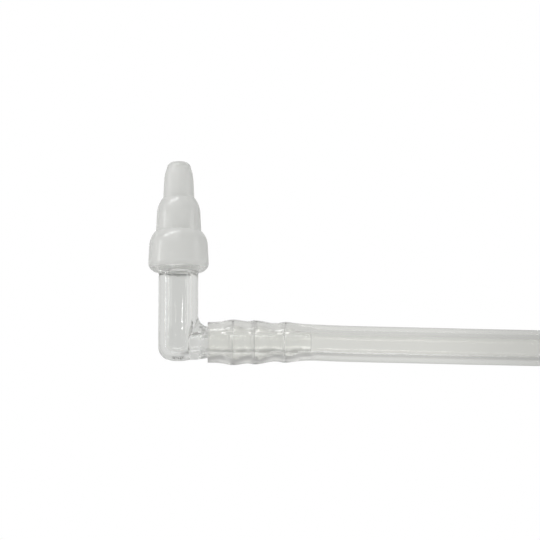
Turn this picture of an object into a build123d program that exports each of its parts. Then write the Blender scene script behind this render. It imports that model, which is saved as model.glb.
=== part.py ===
"""Glass elbow hose adapter with a three-step ground cone and its push-on tubing.

The adapter is borosilicate glass, lamp-worked in one run: three ground cones of
rising size, a stem with a closed foot, and a side arm with three olives. Clear
thick-walled tubing is stretched over the olives and lies on the bench. Its spare
length is wound in a round coil, the second turn on the first, held by two ties.

Frame, in millimetres: the bench is z = 0. The stem runs along +Y and the side arm
along +X, both at height AXIS_Z, and the origin is on the bench under their crossing.
"""
from build123d import *
import math
import os

# Ground cones: radius at the wide end, and where each cone begins and ends.
CONE_TAPER = 0.05  # radius lost for each millimetre along a cone
LARGE_R, LARGE_Y0, LARGE_Y1 = 9.6, 25.3, 31.0
MIDDLE_R, MIDDLE_Y0, MIDDLE_Y1 = 7.2, 35.6, 41.3
SMALL_R, SMALL_Y0, SMALL_Y1 = 4.95, 46.3, 52.0
LIP_R, LIP_Y, LIP_ROUND = 3.85, 55.7, 2.15  # where the small cone turns in to its mouth
MOUTH_R, MOUTH_ROUND = 1.35, 0.3
THROAT_Y = 55.5  # where the cavity has narrowed to the mouth
SKIRT_ROUND, SKIRT_FILLET = 2.8, 0.9

# Inside of the three cones, as (radius, distance) where each straight wall begins and ends.
INSIDE_STEPS = [
    (7.5, 27.2), (7.35, 30.6), (5.3, 36.0), (5.0, 40.8), (2.95, 46.6), (2.8, 51.5),
]

# Stem and its closed foot.
STEM_R, STEM_BORE = 6.3, 4.2
FOOT_Y, FOOT_ROUND, FOOT_WALL = -5.75, 4.4, 2.0
BEAD_Y, BEAD_R, BEAD_HALF = 22.1, 3.8, 1.0  # ring of glass where cone and stem are sealed

# Side arm as (distance from the stem's axis, radius): a flared root and three olives.
ARM_OUTLINE = [
    (0.0, 5.45), (6.0, 5.42), (9.3, 4.95), (11.6, 4.45), (15.4, 4.5), (17.3, 5.28),
    (21.4, 4.42), (23.0, 4.45), (24.5, 5.04), (29.8, 3.92), (32.2, 3.86), (33.9, 4.27),
    (38.4, 3.6), (41.65, 3.37),
]
ARM_BORE, ARM_END, ARM_FILLET = 2.5, 42.05, 3.6

# Where the lamp-worked sections meet.
STEM_CUT, ELBOW_CUT, ARM_CUT = 20.9, 12.0, 11.6

# Tubing. The sleeve is the stretch that is pushed over the olives.
TUBE_OD, TUBE_ID = 11.4, 6.0
FIT_GAP = 0.06  # running clearance between the glass and the stretched tubing
SLEEVE_END, SLEEVE_NARROW = 46.0, 44.0
SLEEVE_OUTLINE = [
    (9.4, 6.42), (12.4, 6.5), (17.3, 7.19), (22.0, 6.7), (24.5, 6.98), (29.8, 6.12),
    (31.6, 6.1), (33.9, 6.46), (38.4, 5.93), (42.2, 5.72), (SLEEVE_END, TUBE_OD / 2),
]

# Coil: the tubing enters along +X at its lowest Y and turns towards +Y. Angles count from
# there. The first turn climbs between the two ramp angles and then lies on itself.
COIL_X, COIL_ENTRY_Y, COIL_R = 185.0, -2.5, 62.0
RAMP_START, RAMP_END = 255.0, 325.0
COIL_ANGLE = 600.0
FREE_END = 15.0
TIE_T, TIE_W, TIE_SLACK = 0.8, 9.0, 0.3
TIE_ANGLES = (35.0, 195.0)

AXIS_Z = LARGE_R
TUBE_R, BORE_R = TUBE_OD / 2, TUBE_ID / 2
COIL_Z = TIE_T + TUBE_R
UPPER_Z = COIL_Z + TUBE_OD
COIL_Y = COIL_ENTRY_Y + COIL_R

# Route of the free tubing, from the end of the sleeve to the coil.
ROUTE = [
    (SLEEVE_END, 0.0, AXIS_Z),
    (49.0, 0.0, AXIS_Z),
    (56.0, -0.42, 9.45),
    (73.0, -0.8, 8.8),
    (93.0, -1.17, 7.4),
    (115.0, -1.5, 6.3),
    (140.0, -1.95, TUBE_R),
    (162.5, COIL_ENTRY_Y, COIL_Z),
    (COIL_X, COIL_ENTRY_Y, COIL_Z),
]


def stem_frame(solid):
    """A solid turned about +Z at the origin, laid along +Y at the axis height."""
    return Pos(0, 0, AXIS_Z) * Rot(-90, 0, 0) * solid


def arm_frame(solid):
    """A solid turned about +Z at the origin, laid along +X at the axis height."""
    return Pos(0, 0, AXIS_Z) * Rot(0, 90, 0) * solid


def turned(edges):
    """The solid of revolution about Z of a closed outline in the XZ plane."""
    return revolve(Plane.XZ * make_face(Wire(edges)), Axis.Z)


def turned_curve(outline):
    """A smooth turned solid through (distance, radius) points, with flat ends."""
    points = [(radius, distance) for distance, radius in outline]
    low, high = (0, points[0][1]), (0, points[-1][1])
    along = [(0, 1), (0, 1)]
    return turned([
        Spline(*points, tangents=along),
        Line(points[-1], high),
        Line(high, low),
        Line(low, points[0]),
    ])


def arc(start, end, direction):
    return TangentArc(start, end, tangent=direction)


def cone_end(base_r, base_y, end_y):
    """The narrow end of a ground cone, as (radius, distance)."""
    return (base_r - CONE_TAPER * (end_y - base_y), end_y)


def stem_outside():
    """Outer shape of the three cones, the skirt and the stem with its closed foot."""
    large_end = cone_end(LARGE_R, LARGE_Y0, LARGE_Y1)
    middle_end = cone_end(MIDDLE_R, MIDDLE_Y0, MIDDLE_Y1)
    small_end = cone_end(SMALL_R, SMALL_Y0, SMALL_Y1)
    skirt = (LARGE_R - SKIRT_ROUND, LARGE_Y0 - SKIRT_ROUND)
    stem_top = (STEM_R, skirt[1] - SKIRT_FILLET)
    foot_edge = (STEM_R - FOOT_ROUND, FOOT_Y)
    stem_foot = (STEM_R, FOOT_Y + FOOT_ROUND)
    lip_top = (LIP_R - LIP_ROUND, LIP_Y + LIP_ROUND)
    up, narrowing, outwards = (0, 1), (-CONE_TAPER, 1), (1, 0)
    return turned([
        Line((0, FOOT_Y), foot_edge),
        arc(foot_edge, stem_foot, outwards),
        Line(stem_foot, stem_top),
        arc(stem_top, skirt, up),
        arc(skirt, (LARGE_R, LARGE_Y0), outwards),
        Line((LARGE_R, LARGE_Y0), large_end),
        arc(large_end, (MIDDLE_R, MIDDLE_Y0), narrowing),
        Line((MIDDLE_R, MIDDLE_Y0), middle_end),
        arc(middle_end, (SMALL_R, SMALL_Y0), narrowing),
        Line((SMALL_R, SMALL_Y0), small_end),
        arc(small_end, (LIP_R, LIP_Y), narrowing),
        arc((LIP_R, LIP_Y), lip_top, up),
        Line(lip_top, (0, lip_top[1])),
        Line((0, lip_top[1]), (0, FOOT_Y)),
    ])


def stem_cavity():
    """The hollow of the cones and the stem, with the sealing bead and the mouth."""
    floor_y = FOOT_Y + FOOT_WALL
    corner = FOOT_ROUND - FOOT_WALL / 2
    floor_edge = (STEM_BORE - corner, floor_y)
    wall_foot = (STEM_BORE, floor_y + corner)
    wall_top = (STEM_BORE, BEAD_Y - BEAD_HALF)
    mouth_y = LIP_Y + LIP_ROUND
    throat = (MOUTH_R, THROAT_Y)
    mouth_low = (MOUTH_R, mouth_y - MOUTH_ROUND)
    mouth_edge = (MOUTH_R + MOUTH_ROUND, mouth_y)
    above = mouth_y + 1
    up, outwards = (0, 1), (1, 0)
    cone_walls = []
    for number, (here, after) in enumerate(zip(INSIDE_STEPS, INSIDE_STEPS[1:])):
        shoulder = Spline(here, after, tangents=[up, up]) if number % 2 else Line(here, after)
        cone_walls.append(shoulder)
    return turned([
        Line((0, floor_y), floor_edge),
        arc(floor_edge, wall_foot, outwards),
        Line(wall_foot, wall_top),
        Spline(wall_top, (BEAD_R, BEAD_Y), INSIDE_STEPS[0], tangents=[up, up]),
        *cone_walls,
        Spline(INSIDE_STEPS[-1], throat, tangents=[up, up]),
        Line(throat, mouth_low),
        arc(mouth_low, mouth_edge, up),
        Line(mouth_edge, (mouth_edge[0], above)),
        Line((mouth_edge[0], above), (0, above)),
        Line((0, above), (0, floor_y)),
    ])


def arm_end():
    """The fire-polished end of the side arm, with the bore already open."""
    distance, radius = ARM_OUTLINE[-1]
    outer, inner = (radius, distance), (ARM_BORE, distance)
    return turned([
        ThreePointArc(outer, ((radius + ARM_BORE) / 2, ARM_END), inner),
        Line(inner, outer),
    ])


def adapter_glass():
    """The whole glass, hollow, before it is parted into its sections."""
    outside = stem_frame(stem_outside()) + arm_frame(turned_curve(ARM_OUTLINE))
    root = [edge for edge in outside.edges() if edge.geom_type == GeomType.BSPLINE]
    root = [edge for edge in root if edge.bounding_box().max.X < ARM_CUT]
    outside = fillet(root, ARM_FILLET)
    upward = (Align.CENTER, Align.CENTER, Align.MIN)
    bore = Cylinder(ARM_BORE, ARM_END, align=upward)
    return outside - stem_frame(stem_cavity()) - arm_frame(bore) + arm_frame(arm_end())


def glass_sections():
    """The glass, parted where the glassblower's pieces were sealed together."""
    glass = adapter_glass()
    reach = 2 * ARM_END

    def between(low, high):
        return Pos(0, (low + high) / 2, AXIS_Z) * Box(reach, high - low, reach)

    arm_side = Pos(ARM_CUT + reach / 2, 0, AXIS_Z) * Box(reach, 2 * ELBOW_CUT, reach)
    return {
        "small_cone": glass & between(SMALL_Y0, SMALL_Y0 + reach),
        "middle_cone": glass & between(MIDDLE_Y0, SMALL_Y0),
        "large_cone": glass & between(STEM_CUT, MIDDLE_Y0),
        "stem_tube": glass & between(ELBOW_CUT, STEM_CUT),
        "elbow": (glass & between(-reach, ELBOW_CUT)) - arm_side,
        "hose_barb": glass & arm_side,
    }


def hose_end():
    """The stretch of tubing that is pushed over the olives."""
    glass_space = [(distance, radius + FIT_GAP) for distance, radius in ARM_OUTLINE]
    last_x, last_r = glass_space[-1]
    narrowing = turned([
        Line((0, last_x), (last_r, last_x)),
        Line((last_r, last_x), (BORE_R, SLEEVE_NARROW)),
        Line((BORE_R, SLEEVE_NARROW), (BORE_R, SLEEVE_END)),
        Line((BORE_R, SLEEVE_END), (0, SLEEVE_END)),
        Line((0, SLEEVE_END), (0, last_x)),
    ])
    sleeve = turned_curve(SLEEVE_OUTLINE) - turned_curve(glass_space) - narrowing
    return arm_frame(sleeve)


def corner_radii(points):
    """The largest tangent arc at each corner of a route: 0.45 of the shorter run."""
    radii = []
    for before, here, after in zip(points, points[1:], points[2:]):
        run_in, run_out = Vector(here) - Vector(before), Vector(after) - Vector(here)
        half_turn = math.radians(run_in.get_angle(run_out)) / 2
        radii.append(0.45 * min(run_in.length, run_out.length) / math.tan(half_turn))
    return radii


def tubing_along(path, start):
    """Hollow tubing swept along a path from a start plane."""
    return sweep(start * (Circle(TUBE_R) - Circle(BORE_R)), path=path)


def hose_run():
    """The tubing that runs free from the sleeve to the coil."""
    radii = corner_radii(ROUTE)
    print("arc radii of the run, mm:", [round(radius) for radius in radii])
    path = FilletPolyline(*ROUTE, radius=radii)
    start = Plane(origin=ROUTE[0], z_dir=Vector(ROUTE[1]) - Vector(ROUTE[0]))
    return tubing_along(path, start)


def coil_place(angle, z):
    """Frame of the tubing at an angle round the coil: Z along the tubing, X outwards."""
    turn = math.radians(angle - 90)
    outwards = Vector(math.cos(turn), math.sin(turn), 0)
    onwards = Vector(-math.sin(turn), math.cos(turn), 0)
    centre = Vector(COIL_X, COIL_Y, z)
    return Plane(origin=centre + outwards * COIL_R, x_dir=outwards, z_dir=onwards)


def coil_sector(first, last, z):
    """The outer shape of the tubing's turn between two angles, centred at height z."""
    section = coil_place(first, z) * Rectangle(TUBE_OD, TUBE_OD)
    axis = Axis((COIL_X, COIL_Y, 0), (0, 0, 1))
    return revolve(section, axis, last - first)


def coil_ramp():
    """The climb of the first turn on to itself, between two sloping planes."""
    low_y = coil_place(RAMP_START, 0).origin.Y
    high_y = coil_place(RAMP_END, 0).origin.Y
    floor_z, middle_z, top_z = TIE_T, TIE_T + TUBE_OD, TIE_T + 2 * TUBE_OD
    slope = Polygon(
        (low_y + TUBE_OD, floor_z), (low_y, floor_z), (high_y, middle_z), (high_y - TUBE_OD, middle_z),
        (high_y - TUBE_OD, top_z), (high_y, top_z), (low_y, middle_z), (low_y + TUBE_OD, middle_z),
        align=None,
    )
    band = extrude(Plane.YZ * slope, COIL_X, both=True)
    whole = coil_sector(RAMP_START, RAMP_END, COIL_Z) + coil_sector(RAMP_START, RAMP_END, UPPER_Z)
    return whole & band


def hose_coil():
    """Outer shape of the turns of tubing, which lie on each other."""
    lower = coil_sector(0, RAMP_START, COIL_Z)
    upper = coil_sector(RAMP_END, COIL_ANGLE, UPPER_Z)
    return lower + coil_ramp() + upper


def hose_free_end():
    """The last of the tubing: it leaves the coil straight and is cut square."""
    place = coil_place(COIL_ANGLE, UPPER_Z)
    middle = place.origin + place.z_dir * FREE_END / 2
    print("middle of the free end, mm:", [round(v, 3) for v in middle])
    print("its direction:", [round(v, 6) for v in place.z_dir])
    return extrude(place * (Circle(TUBE_R) - Circle(BORE_R)), FREE_END)


def coil_tie(angle):
    """A flat tie closed round both turns of the coil."""
    width, height = TUBE_OD + 2 * TIE_SLACK, 2 * TUBE_OD
    band = RectangleRounded(width + 2 * TIE_T, height + 2 * TIE_T, TIE_T) - Rectangle(width, height)
    place = coil_place(angle, (COIL_Z + UPPER_Z) / 2)
    return extrude(place * band, TIE_W / 2, both=True)


def main():
    os.makedirs("parts", exist_ok=True)
    parts = glass_sections()
    parts["hose_end"] = hose_end()
    parts["hose_run"] = hose_run()
    parts["hose_coil"] = hose_coil()
    parts["hose_free_end"] = hose_free_end()
    for number, angle in enumerate(TIE_ANGLES, 1):
        parts[f"coil_tie_{number}"] = coil_tie(angle)
    for name, shape in parts.items():
        export_step(shape, f"parts/{name}.step")


main()
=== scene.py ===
"""Glass elbow hose adapter with its tubing, lying on a white bench under soft studio light.

Metres and degrees, in the CAD model's own frame. Names that end in _MM hold millimetres.
The glass sections keep the CAD shape and are joined where they are sealed. The tubing is one
hollow tube along a smooth route.
"""
import math

import bmesh
import bpy
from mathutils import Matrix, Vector


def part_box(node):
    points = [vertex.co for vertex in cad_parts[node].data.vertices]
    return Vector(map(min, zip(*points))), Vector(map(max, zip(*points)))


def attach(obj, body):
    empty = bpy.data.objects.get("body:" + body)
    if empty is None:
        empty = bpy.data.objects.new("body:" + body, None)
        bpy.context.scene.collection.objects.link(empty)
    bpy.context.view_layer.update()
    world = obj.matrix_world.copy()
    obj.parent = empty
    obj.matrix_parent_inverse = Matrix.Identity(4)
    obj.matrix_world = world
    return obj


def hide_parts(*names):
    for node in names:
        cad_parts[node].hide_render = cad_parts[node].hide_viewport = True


MM = 0.001

# Height of both glass axes above the bench.
AXIS_Z = 9.6 * MM

# Glass ---------------------------------------------------------------------------------

CLEAR_SECTIONS = ["stem_tube", "elbow", "hose_barb"]
GROUND_SECTIONS = ["small_cone", "middle_cone", "large_cone"]
# Sections that are sealed to each other along the stem: the one below and the one above.
SEALED_PAIRS = [
    ("middle_cone", "small_cone"),
    ("large_cone", "middle_cone"),
    ("stem_tube", "large_cone"),
    ("elbow", "stem_tube"),
]
# How close the corners of a sealed face lie to the plane of the seal.
SEAL_TOLERANCE = 0.002 * MM
GLASS_IOR = 1.474

# Along the stem: where the outside of the glass begins to be frosted, where it is fully so,
# and where the frost thins again on the polished lip, down to a share of itself.
FROST_START, FROST_FULL = 21.8 * MM, 25.2 * MM
LIP_START, LIP_END, LIP_FROST = 54.8 * MM, 56.6 * MM, 0.65
# The ground material starts a little before the frost, where it is still clear.
FROST_MARGIN = 1.0 * MM

# Ripples where the arm and the skirt are sealed to the stem: axis, place, fineness and depth
# of each, and how far both reach to each side.
SEAL_RIPPLES = [("X", 8.4 * MM, 600, 1.35 * MM), ("Y", 22.3 * MM, 350, 0.25 * MM)]
SEAL_REACH = 2.0 * MM

# Tubing --------------------------------------------------------------------------------

# Radius of the tubing, and where it starts on the arm.
TUBE_R = 5.7 * MM
TUBE_START = 9.4 * MM
# Corners of each ring, and the distance between rings on the stretched end and after it.
RING_CORNERS = 64
FINE_STEP, COARSE_STEP = 0.4 * MM, 2.0 * MM

# Free run of the tubing, in mm, in the order that it runs.
ROUTE_MM = [
    (9.4, 0.0, 9.6),
    (28.0, 0.0, 9.6),
    (42.0, 0.0, 9.6),
    (49.0, -0.34, 9.6),
    (56.0, -0.56, 9.45),
    (73.0, -0.85, 8.8),
    (93.0, -1.17, 7.4),
    (115.0, -1.5, 6.3),
    (140.0, -1.95, 5.7),
    (162.5, -2.5, 6.5),
]

# Stretched end of the tubing, in mm: (distance from the stem's axis, radius) inside and outside.
SLEEVE_INSIDE_MM = [
    (9.4, 5.0), (11.5, 4.54), (13.6, 4.28), (15.0, 4.45), (16.4, 5.01), (17.8, 5.39), (19.2, 5.15),
    (20.6, 4.69), (22.1, 4.42), (23.4, 4.66), (24.4, 5.07), (25.4, 5.22), (26.9, 4.95), (29.0, 4.22),
    (31.1, 3.82), (32.8, 4.08), (34.5, 4.38), (36.0, 4.26), (38.1, 3.75), (39.5, 3.48), (41.6, 3.45),
    (42.2, 3.42), (44.0, 3.02), (46.0, 3.0),
]
SLEEVE_OUTSIDE_MM = [
    (9.4, 6.42), (12.4, 6.5), (17.3, 7.19), (22.0, 6.7), (24.5, 6.98), (29.8, 6.12), (31.6, 6.1),
    (33.9, 6.46), (38.4, 5.93), (42.2, 5.72), (46.0, 5.7),
]

# Marks of the stretched end: fine lengthwise lines about its middle, and one across each olive.
SLEEVE_MIDDLE, SLEEVE_REACH = 26.0 * MM, 19.0 * MM
OLIVE_LINES, OLIVE_LINE_REACH = (17.0 * MM, 23.9 * MM, 33.4 * MM), 0.35 * MM

# Ties: thickness and width of the strap, and where they sit round the coil. The strap is drawn
# a little thinner than it is, so that it stays off the tubing.
TIE_T, TIE_W = 0.8 * MM, 9.0 * MM
TIE_DRAWN_SHARE = 0.96
TIE_ANGLES = (35.0, 195.0)
# The strap starts this far below the middle of the two turns, bends round them in steps of
# this angle, and ends lapped over its start at these heights above the lower turn, in
# tubing radii.
TIE_START_DROP = 3.0 * MM
TIE_ARC_STEP = 12
TIE_LAP = (0.6, 1.0, 1.5, 2.0, 2.5)

# Coil: its radius, its axis, worked out from the place where the tubing enters it, and the
# heights of the lower and the upper turn. Angles are counted from the entry: those between
# which the tubing climbs, the whole angle and its step. A straight free end follows.
COIL_R = 62.0 * MM
COIL_X, COIL_ENTRY_Y = 185.0 * MM, -2.5 * MM
COIL_Y = COIL_ENTRY_Y + COIL_R
LOWER_Z = TIE_T + TUBE_R
UPPER_Z = LOWER_Z + 2 * TUBE_R
RAMP_START, RAMP_END = 255.0, 325.0
COIL_ANGLE, COIL_STEP = 600, 15
FREE_END = 15.0 * MM

# Stage ---------------------------------------------------------------------------------

# Camera: where it stands from the middle of the view, how wide the view is there, and the
# width of its sensor in mm.
CAMERA_ELEVATION, CAMERA_DISTANCE = 82.0, 0.9
VIEW_CENTRE = (29.05 * MM, 23.1 * MM, AXIS_Z)
VIEW_WIDTH = 0.1714
SENSOR_WIDTH_MM = 36.0

# Lamps, all aimed at one point of the stem: name, place, width and height, power.
LAMP_TARGET = (0.0, 0.02, AXIS_Z)
LAMPS = [
    ("left_strip", (-0.5, 0.1, 0.12), (0.3, 0.02), 0.25),
    ("right_fill", (0.5, 0.12, 0.13), (0.3, 0.12), 0.22),
    ("right_strip", (0.3, 0.093, 0.63), (0.012, 0.024), 0.055),
    ("window", (-0.25, 0.6, 0.25), (0.6, 0.12), 1.55),
    ("front", (-0.1, -0.6, 0.3), (0.6, 0.12), 1.0),
]
WORLD_COLOUR = (0.61, 0.615, 0.6)
WHITE = (1.0, 1.0, 1.0)

# The floor that is seen and the bench below it that lights the glass, both reaching this far
# to each side.
FLOOR_Z, BENCH_Z = -0.2 * MM, -0.4 * MM
STAGE_REACH = 3.0
# Grid lines of the bench along either axis: close ones, and wide ones to both sides of them.
BENCH_FROM_MM, BENCH_TO_MM, BENCH_STEP_MM = -120, 180, 2
BENCH_WIDE_LINES = [0.3, 1.0, STAGE_REACH]
BENCH_TINT = (1.0, 1.005, 0.985)
# Brightness of the glowing bench, with painted light and painted shadows: its level, the painted
# light it gains to the right of the stem and loses farther right, the painted shadows under the
# stem, behind the tubing and in front of it, and what the painted shadow in front loses to the
# right.
BENCH_LEVEL, RIGHT_GAIN, FAR_LOSS = 0.69, 0.03, 0.14
STEM_SHADE, BEHIND_SHADE, FRONT_SHADE, FRONT_EASE = 0.1, 0.07, 0.26, 0.12

# Clear double walls need more light bounces than usual.
CLEAR_BOUNCES, GLOSSY_BOUNCES = 32, 16


# Small helpers -------------------------------------------------------------------------


def smooth_value(points, x):
    """Catmull-Rom value at x through (x, y) points, held flat outside them."""
    if x <= points[0][0]:
        return points[0][1]
    if x >= points[-1][0]:
        return points[-1][1]
    last = len(points) - 1
    i = next(k for k in range(last) if points[k + 1][0] >= x)
    slopes = []
    for k in (i, i + 1):
        before, after = points[max(k - 1, 0)], points[min(k + 1, last)]
        slopes.append((after[1] - before[1]) / (after[0] - before[0]))
    (x0, y0), (x1, y1) = points[i], points[i + 1]
    span = x1 - x0
    t = (x - x0) / span
    rise = (3 - 2 * t) * t * t
    return (
        y0 + (y1 - y0) * rise
        + slopes[0] * span * t * (1 - t) ** 2
        - slopes[1] * span * t * t * (1 - t)
    )


def smooth_step(low, high, value):
    """0 up to low, 1 from high on, and a smooth rise between them."""
    share = min(max((value - low) / (high - low), 0), 1)
    return share * share * (3 - 2 * share)


def add_object(name, mesh, body):
    piece = bpy.data.objects.new(name, mesh)
    bpy.context.scene.collection.objects.link(piece)
    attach(piece, body)
    return piece


def shade_smooth(mesh):
    mesh.polygons.foreach_set("use_smooth", [True] * len(mesh.polygons))


# Materials -----------------------------------------------------------------------------


def new_material(name):
    material = bpy.data.materials.new(name)
    material.use_nodes = True
    return material, material.node_tree.nodes["Principled BSDF"]


def calculate(material, operation, first, second):
    """The output of a Math node on sockets or numbers."""
    node = material.node_tree.nodes.new("ShaderNodeMath")
    node.operation = operation
    for value, socket in zip((first, second), node.inputs):
        if isinstance(value, float):
            socket.default_value = value
        else:
            material.node_tree.links.new(value, socket)
    return node.outputs["Value"]


def place_along(material, axis):
    """The object coordinate along one axis."""
    nodes = material.node_tree.nodes
    place = nodes.new("ShaderNodeTexCoord")
    split = nodes.new("ShaderNodeSeparateXYZ")
    material.node_tree.links.new(place.outputs["Object"], split.inputs["Vector"])
    return split.outputs[axis]


def fade(material, value, low, high, start, end):
    """Smooth change from start to end as the value goes from low to high."""
    node = material.node_tree.nodes.new("ShaderNodeMapRange")
    node.interpolation_type = "SMOOTHSTEP"
    for name, number in (("From Min", low), ("From Max", high), ("To Min", start), ("To Max", end)):
        node.inputs[name].default_value = number
    material.node_tree.links.new(value, node.inputs["Value"])
    return node.outputs["Result"]


def noise(material, scale, stretch=(1, 1, 1)):
    """Noise in object space. A small number in stretch draws it out along that axis."""
    nodes, links = material.node_tree.nodes, material.node_tree.links
    place = nodes.new("ShaderNodeTexCoord")
    mapping = nodes.new("ShaderNodeMapping")
    mapping.inputs["Scale"].default_value = stretch
    texture = nodes.new("ShaderNodeTexNoise")
    texture.inputs["Scale"].default_value = scale
    texture.inputs["Detail"].default_value = 3
    links.new(place.outputs["Object"], mapping.inputs["Vector"])
    links.new(mapping.outputs["Vector"], texture.inputs["Vector"])
    return texture.outputs["Fac"]


def zone(material, axis, centre, reach):
    """One at a place along an axis, fading to nothing at reach to each side of it."""
    off = calculate(material, "SUBTRACT", place_along(material, axis), centre)
    return fade(material, calculate(material, "ABSOLUTE", off, 0.0), 0, reach, 1, 0)


def add_bump(material, shader, height, strength, distance):
    """A bump on top of those that the shader already has."""
    links = material.node_tree.links
    bump = material.node_tree.nodes.new("ShaderNodeBump")
    bump.inputs["Strength"].default_value = strength
    bump.inputs["Distance"].default_value = distance
    links.new(height, bump.inputs["Height"])
    for link in shader.inputs["Normal"].links:
        links.new(link.from_socket, bump.inputs["Normal"])
    links.new(bump.outputs["Normal"], shader.inputs["Normal"])


def clear_glass():
    """Fire-polished glass, a little uneven, with ripples at the seals."""
    material, shader = new_material("clear_glass")
    shader.inputs["Base Color"].default_value = (0.997, 1.0, 0.995, 1)
    shader.inputs["Transmission Weight"].default_value = 1
    shader.inputs["Roughness"].default_value = 0.03
    shader.inputs["IOR"].default_value = GLASS_IOR
    add_bump(material, shader, noise(material, scale=260), strength=0.12, distance=0.2 * MM)
    for axis, seal, scale, depth in SEAL_RIPPLES:
        near_seal = zone(material, axis, seal, SEAL_REACH)
        ripples = calculate(material, "MULTIPLY", noise(material, scale), near_seal)
        add_bump(material, shader, ripples, strength=1, distance=depth)
    return material


def ground_glass():
    """Ground glass that scatters under a faint gloss, and clears towards the stem and the lip."""
    material, shader = new_material("ground_glass")
    shader.inputs["Base Color"].default_value = (0.975, 0.975, 0.962, 1)
    shader.inputs["IOR"].default_value = GLASS_IOR
    shader.inputs["Coat Weight"].default_value = 0.8
    shader.inputs["Coat Roughness"].default_value = 0.2
    height = place_along(material, "Y")
    above_skirt = fade(material, height, FROST_START, FROST_FULL, 0, 1)
    below_lip = fade(material, height, LIP_START, LIP_END, 1, LIP_FROST)
    frost = calculate(material, "MULTIPLY", above_skirt, below_lip)
    for name, clear, ground in (("Transmission Weight", 1, 0.5), ("Roughness", 0.03, 0.42)):
        material.node_tree.links.new(fade(material, frost, 0, 1, clear, ground), shader.inputs[name])
    add_bump(material, shader, noise(material, scale=2500), strength=0.1, distance=0.1 * MM)
    return material


def clear_tubing():
    """Soft clear tubing, with the marks of stretching on its end."""
    material, shader = new_material("clear_tubing")
    shader.inputs["Base Color"].default_value = (0.975, 0.973, 0.958, 1)
    shader.inputs["Transmission Weight"].default_value = 1
    shader.inputs["Roughness"].default_value = 0.11
    shader.inputs["IOR"].default_value = 1.5
    add_bump(material, shader, noise(material, scale=150), strength=0.02, distance=0.2 * MM)
    drawn_out = noise(material, scale=600, stretch=(0.12, 1, 1))
    on_sleeve = zone(material, "X", SLEEVE_MIDDLE, SLEEVE_REACH)
    lines = calculate(material, "MULTIPLY", drawn_out, on_sleeve)
    add_bump(material, shader, lines, strength=0.5, distance=0.3 * MM)
    for place in OLIVE_LINES:
        line = zone(material, "X", place, OLIVE_LINE_REACH)
        add_bump(material, shader, line, strength=0.65, distance=0.28 * MM)
    return material


def tie_fabric():
    material, shader = new_material("tie_fabric")
    shader.inputs["Base Color"].default_value = (0.02, 0.02, 0.022, 1)
    shader.inputs["Roughness"].default_value = 0.9
    add_bump(material, shader, noise(material, scale=1800), strength=0.8, distance=0.3 * MM)
    return material


# Glass sections ------------------------------------------------------------------------


def sealed_planes():
    """Where the sections meet, as (axis, place), read from the CAD boxes."""
    planes = []
    for below, above in SEALED_PAIRS:
        planes.append((1, (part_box(below)[1][1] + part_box(above)[0][1]) / 2))
    planes.append((0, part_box("hose_barb")[0][0]))
    return planes


def is_sealed(face, planes):
    """Whether the whole face lies in one of the planes."""
    return any(
        all(abs(corner.co[axis] - place) < SEAL_TOLERANCE for corner in face.verts)
        for axis, place in planes
    )


def is_ground(face):
    """Whether the face is on the outside of the glass, above the clear part of the skirt."""
    middle = face.calc_center_median()
    outwards = face.normal.x * middle.x + face.normal.z * (middle.z - AXIS_Z) > 0
    return outwards and middle.y > FROST_START - FROST_MARGIN


def glass_section(node, materials, planes):
    """The CAD section without the flat faces where it is sealed to its neighbours.

    With two materials, the second goes on the faces that are ground.
    """
    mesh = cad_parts[node].data.copy()
    mesh.materials.clear()
    for material in materials:
        mesh.materials.append(material)
    work = bmesh.new()
    work.from_mesh(mesh)
    sealed = [face for face in work.faces if is_sealed(face, planes)]
    bmesh.ops.delete(work, geom=sealed, context="FACES")
    if len(materials) > 1:
        for face in work.faces:
            face.material_index = 1 if is_ground(face) else 0
    work.to_mesh(mesh)
    work.free()
    shade_smooth(mesh)
    piece = add_object(node + "_glass", mesh, "adapter")
    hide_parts(node)


def build_glass():
    clear, ground = clear_glass(), ground_glass()
    planes = sealed_planes()
    for node in CLEAR_SECTIONS:
        glass_section(node, [clear], planes)
    for node in GROUND_SECTIONS:
        glass_section(node, [clear, ground], planes)


# Tubing and ties -----------------------------------------------------------------------


def coil_frame(angle):
    """(outwards, onwards) at an angle round the coil, counted from where the tubing enters."""
    turn = math.radians(angle - 90)
    outwards = Vector((math.cos(turn), math.sin(turn), 0))
    return outwards, Vector((-outwards.y, outwards.x, 0))


def coil_point(angle):
    """A point of the coil's turns: level, then climbing on to the first turn, then level."""
    height = LOWER_Z + (UPPER_Z - LOWER_Z) * smooth_step(RAMP_START, RAMP_END, angle)
    return Vector((COIL_X, COIL_Y, height)) + COIL_R * coil_frame(angle)[0]


def route_points():
    """Control points of the whole tubing: the free run, the coil and its straight end."""
    points = [Vector(point) * MM for point in ROUTE_MM]
    points += [coil_point(angle) for angle in range(0, COIL_ANGLE, COIL_STEP)]
    last, onwards = coil_point(COIL_ANGLE), coil_frame(COIL_ANGLE)[1]
    return points + [last, last + FREE_END / 2 * onwards, last + FREE_END * onwards]


def smooth_route(points):
    """Points along the NURBS spline of the route."""
    curve = bpy.data.curves.new("tubing_route", "CURVE")
    curve.dimensions = "3D"
    spline = curve.splines.new("NURBS")
    spline.points.add(len(points) - 1)
    for place, point in zip(spline.points, points):
        place.co = (*point, 1)
    spline.order_u = 3
    spline.use_endpoint_u = True
    spline.resolution_u = 16
    holder = bpy.data.objects.new("tubing_route", curve)
    mesh = bpy.data.meshes.new_from_object(holder)
    line = [vertex.co.copy() for vertex in mesh.vertices]
    bpy.data.objects.remove(holder)
    bpy.data.meshes.remove(mesh)
    bpy.data.curves.remove(curve)
    return line


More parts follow.
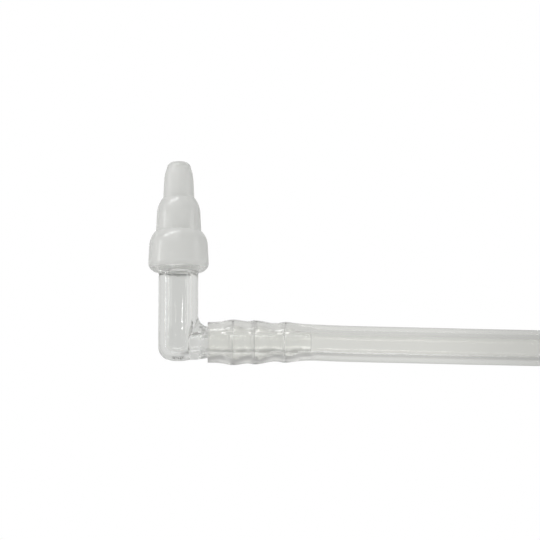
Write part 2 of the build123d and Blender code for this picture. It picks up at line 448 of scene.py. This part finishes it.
def stations(length):
    """Distances along the tubing for its rings: close on the stretched end, wider after it."""
    sleeve = (SLEEVE_OUTSIDE_MM[-1][0] - SLEEVE_OUTSIDE_MM[0][0]) * MM
    fine_count = round(sleeve / FINE_STEP)
    coarse_count = round((length - sleeve) / COARSE_STEP)
    places = [i * sleeve / fine_count for i in range(fine_count)]
    places += [sleeve + i * (length - sleeve) / coarse_count for i in range(coarse_count + 1)]
    return places


def along(line, distances):
    """(point, direction) at each distance along a line of points."""
    result = []
    travelled, index = 0.0, 0
    step = (line[1] - line[0]).length
    for distance in distances:
        while distance > travelled + step and index < len(line) - 2:
            travelled += step
            index += 1
            step = (line[index + 1] - line[index]).length
        direction = (line[index + 1] - line[index]).normalized()
        result.append((line[index] + direction * (distance - travelled), direction))
    return result


def ring(work, point, direction, radius):
    """Corners round a point of the tubing, square to its direction."""
    side = direction.cross(Vector((0, 0, 1))).normalized()
    over = side.cross(direction)
    corners = []
    for i in range(RING_CORNERS):
        turn = 2 * math.pi * i / RING_CORNERS
        outwards = math.cos(turn) * side + math.sin(turn) * over
        corners.append(work.verts.new(point + radius * outwards))
    return corners


def tube_rings(work, line):
    """(outer ring, inner ring) at each station along the line."""
    distances = stations(sum((b - a).length for a, b in zip(line, line[1:])))
    rings = []
    for distance, (point, direction) in zip(distances, along(line, distances)):
        reach = (TUBE_START + distance) / MM
        outer, inner = (smooth_value(outline, reach) * MM
                        for outline in (SLEEVE_OUTSIDE_MM, SLEEVE_INSIDE_MM))
        rings.append((ring(work, point, direction, outer), ring(work, point, direction, inner)))
    return rings


def add_walls(work, rings):
    """Outer and inner wall between the rings."""
    for (outer, inner), (next_outer, next_inner) in zip(rings, rings[1:]):
        for i in range(RING_CORNERS):
            j = (i + 1) % RING_CORNERS
            work.faces.new((outer[i], outer[j], next_outer[j], next_outer[i]))
            work.faces.new((inner[j], inner[i], next_inner[i], next_inner[j]))


def add_cut_ends(work, rings):
    """The faces of the wall at both ends."""
    faces = []
    for outer, inner in (rings[0], rings[-1]):
        for i in range(RING_CORNERS):
            j = (i + 1) % RING_CORNERS
            faces.append(work.faces.new((outer[i], outer[j], inner[j], inner[i])))
    return faces


def shade_tube(work, cut_ends):
    """Smooth walls, flat cut ends and sharp edges round these."""
    for face in work.faces:
        face.smooth = True
    for face in cut_ends:
        face.smooth = False
        for edge in face.edges:
            if sum(1 for other in edge.link_faces if other in cut_ends) == 1:
                edge.smooth = False


def tube_mesh(line):
    """Hollow tubing along the line: outer wall, inner wall and both cut ends."""
    work = bmesh.new()
    rings = tube_rings(work, line)
    add_walls(work, rings)
    cut_ends = add_cut_ends(work, rings)
    bmesh.ops.recalc_face_normals(work, faces=work.faces)
    shade_tube(work, cut_ends)
    mesh = bpy.data.meshes.new("tubing")
    work.to_mesh(mesh)
    work.free()
    return mesh


def build_tubing():
    line = smooth_route(route_points())
    mesh = tube_mesh(line)
    mesh.materials.append(clear_tubing())
    piece = add_object("tubing", mesh, "tubing")
    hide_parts("hose_end", "hose_run", "hose_coil", "hose_free_end")
    return piece, line


def half_turn(start):
    """Angles in radians from start degrees round the next half turn."""
    return [math.radians(start + step) for step in range(0, 181, TIE_ARC_STEP)]


def tie_loop():
    """(distance outwards, height) along the middle of a strap, round both turns of the coil."""
    reach = TUBE_R + TIE_T / 2
    loop = [(reach, (LOWER_Z + UPPER_Z) / 2 - TIE_START_DROP)]
    loop += [(reach * math.cos(t), UPPER_Z + reach * math.sin(t)) for t in half_turn(0)]
    loop += [(reach * math.cos(t), LOWER_Z + reach * math.sin(t)) for t in half_turn(180)]
    loop += [(reach + TIE_T, LOWER_Z + share * TUBE_R) for share in TIE_LAP]
    return loop


def build_tie(number, angle, material):
    """A flat strap wrapped round both turns of the coil, its end lapped over its start."""
    outwards, onwards = coil_frame(angle)
    centre = Vector((COIL_X, COIL_Y, 0)) + COIL_R * outwards
    work = bmesh.new()
    rows = []
    for distance, height in tie_loop():
        middle = centre + distance * outwards + Vector((0, 0, height))
        rows.append([work.verts.new(middle + side * TIE_W / 2 * onwards) for side in (-1, 1)])
    for before, after in zip(rows, rows[1:]):
        work.faces.new((before[0], before[1], after[1], after[0]))
    mesh = bpy.data.meshes.new("coil_tie")
    work.to_mesh(mesh)
    work.free()
    shade_smooth(mesh)
    mesh.materials.append(material)
    piece = add_object("coil_tie_%d_strap" % number, mesh, "tubing")
    thicken = piece.modifiers.new("thickness", "SOLIDIFY")
    thicken.thickness = TIE_T * TIE_DRAWN_SHARE
    thicken.offset = 0
    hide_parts("coil_tie_%d" % number)
    return piece


def build_ties():
    material = tie_fabric()
    return [build_tie(number, angle, material) for number, angle in enumerate(TIE_ANGLES, 1)]


# Stage, light and camera ---------------------------------------------------------------


def emitter(name, colour):
    """A material that only glows."""
    material = bpy.data.materials.new(name)
    material.use_nodes = True
    nodes = material.node_tree.nodes
    nodes.clear()
    glow = nodes.new("ShaderNodeEmission")
    glow.inputs["Color"].default_value = (*colour, 1)
    glow.inputs["Strength"].default_value = 1.0
    out = nodes.new("ShaderNodeOutputMaterial")
    material.node_tree.links.new(glow.outputs["Emission"], out.inputs["Surface"])
    return material


def stage_plane(mesh, material, seen):
    """A plane of the stage: seen by the camera only, or hidden from it and seen by all else."""
    mesh.materials.append(material)
    plane = bpy.data.objects.new(mesh.name, mesh)
    bpy.context.scene.collection.objects.link(plane)
    plane.visible_camera = seen
    plane.visible_transmission = not seen
    plane.visible_glossy = not seen
    plane.visible_diffuse = not seen


def white_floor():
    sides = ((-1, -1), (1, -1), (1, 1), (-1, 1))
    corners = [(x * STAGE_REACH, y * STAGE_REACH, FLOOR_Z) for x, y in sides]
    mesh = bpy.data.meshes.new("floor")
    mesh.from_pydata(corners, [], [(0, 1, 2, 3)])
    stage_plane(mesh, emitter("floor_white", WHITE), True)


def bench_light(x, y):
    """Brightness of the bench at x and y in mm, with painted shadows: darkest under the stem and
    beside the tubing.
    """
    # Painted light to the right of the stem, and painted shadows of the stem and the tubing.
    level = BENCH_LEVEL + RIGHT_GAIN * smooth_step(30, 45, x) - FAR_LOSS * smooth_step(75, 120, x)
    under_stem = (1 - smooth_step(3, 9, abs(x))) * smooth_step(-30, -10, y)
    behind = smooth_step(28, 40, x) * smooth_step(4, 8, y)
    in_front = smooth_step(2, 12, x) * smooth_step(6, 10, -y)
    front_shade = FRONT_SHADE - FRONT_EASE * smooth_step(30, 60, x)
    return level - STEM_SHADE * under_stem - BEHIND_SHADE * behind - front_shade * in_front


def bench_lines():
    """Places of the bench's grid lines along either axis."""
    close = [place * MM for place in range(BENCH_FROM_MM, BENCH_TO_MM + 1, BENCH_STEP_MM)]
    return [-place for place in reversed(BENCH_WIDE_LINES)] + close + BENCH_WIDE_LINES


def lit_bench():
    """The bench glowing as light through the glass would meet it, with painted light and shadows,
    hidden from the eye.
    """
    lines = bench_lines()
    count = len(lines)
    corners = [(x, y, BENCH_Z) for y in lines for x in lines]
    faces = []
    for row in range(count - 1):
        for i in range(row * count, row * count + count - 1):
            faces.append((i, i + 1, i + 1 + count, i + count))
    mesh = bpy.data.meshes.new("bench")
    mesh.from_pydata(corners, [], faces)
    levels = mesh.attributes.new("level", "FLOAT", "POINT")
    levels.data.foreach_set("value", [bench_light(x / MM, y / MM) for x, y, _ in corners])
    # The bench glows, its strength at each corner carrying the painted light and shadows.
    material = emitter("bench_painted_shade", BENCH_TINT)
    nodes, links = material.node_tree.nodes, material.node_tree.links
    reader = nodes.new("ShaderNodeAttribute")
    reader.attribute_name = "level"
    links.new(reader.outputs["Fac"], nodes["Emission"].inputs["Strength"])
    stage_plane(mesh, material, False)


def build_world():
    """Even light from all round."""
    world = bpy.data.worlds.new("studio")
    bpy.context.scene.world = world
    world.use_nodes = True
    world.node_tree.nodes["Background"].inputs["Color"].default_value = (*WORLD_COLOUR, 1)
    world.node_tree.nodes["Background"].inputs["Strength"].default_value = 1.0


def turn_towards(thing, place, target):
    """Put a lamp or a camera at a place, aimed at the target."""
    thing.location = place
    thing.rotation_euler = (Vector(target) - Vector(place)).to_track_quat("-Z", "Y").to_euler()


def build_lamp(name, place, size, power):
    data = bpy.data.lights.new(name, "AREA")
    data.shape = "RECTANGLE"
    data.size, data.size_y = size
    data.energy = power
    lamp = bpy.data.objects.new(name, data)
    turn_towards(lamp, place, LAMP_TARGET)
    bpy.context.scene.collection.objects.link(lamp)


def build_camera():
    """Almost straight down on the flat-lying adapter, from the foot's side."""
    tilt = math.radians(CAMERA_ELEVATION)
    target = Vector(VIEW_CENTRE)
    data = bpy.data.cameras.new("camera")
    data.sensor_width = SENSOR_WIDTH_MM
    data.lens = SENSOR_WIDTH_MM * CAMERA_DISTANCE / VIEW_WIDTH
    camera = bpy.data.objects.new("camera", data)
    place = target + CAMERA_DISTANCE * Vector((0, -math.cos(tilt), math.sin(tilt)))
    turn_towards(camera, place, target)
    bpy.context.scene.collection.objects.link(camera)
    bpy.context.scene.camera = camera


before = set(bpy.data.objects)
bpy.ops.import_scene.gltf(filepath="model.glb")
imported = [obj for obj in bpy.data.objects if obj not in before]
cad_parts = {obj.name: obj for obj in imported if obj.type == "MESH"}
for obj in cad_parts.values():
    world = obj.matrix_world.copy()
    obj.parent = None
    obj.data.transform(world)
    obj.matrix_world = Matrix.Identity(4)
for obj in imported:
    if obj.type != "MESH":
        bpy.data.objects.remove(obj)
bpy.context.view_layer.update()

build_camera()
white_floor()
lit_bench()
build_world()
for lamp in LAMPS:
    build_lamp(*lamp)
build_glass()
tubing, tubing_line = build_tubing()
ties = build_ties()

bpy.context.scene.view_settings.view_transform = "Standard"
light_paths = bpy.context.scene.cycles
light_paths.max_bounces = CLEAR_BOUNCES
light_paths.transmission_bounces = CLEAR_BOUNCES
light_paths.glossy_bounces = GLOSSY_BOUNCES
